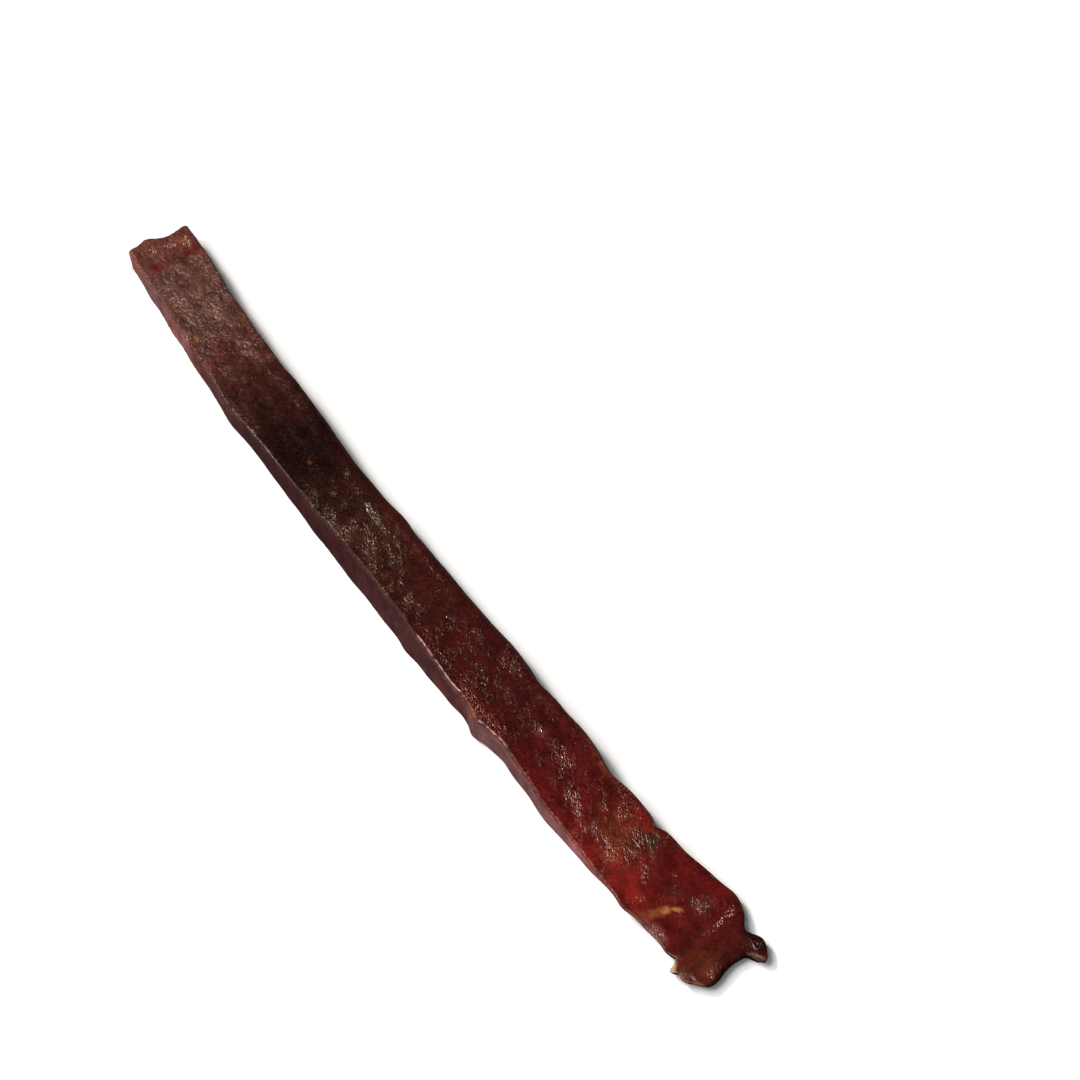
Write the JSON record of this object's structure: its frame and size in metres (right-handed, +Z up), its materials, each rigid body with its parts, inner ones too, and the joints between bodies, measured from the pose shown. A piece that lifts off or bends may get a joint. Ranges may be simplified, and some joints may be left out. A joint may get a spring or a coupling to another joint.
{
  "type": "duck jerky strip",
  "caption": "Long flat strip of dried duck meat, grainy and glossy dark red-brown, sliced square at one end and torn at the other, lying flat.",
  "frame": {"origin": "middle of the strip's footprint, on the surface that it lies on", "axes": "+X along the strip, from the sliced end to the torn end; +Y across it; +Z up through its thickness"},
  "size_m": [0.1614, 0.015, 0.0049],
  "materials": {
    "dried_duck_meat": "dried meat, dark red-brown, grainy with a greasy gloss"
  },
  "bodies": {
    "root": {"duck_jerky_strip": "dried_duck_meat"}
  },
  "joints": []
}
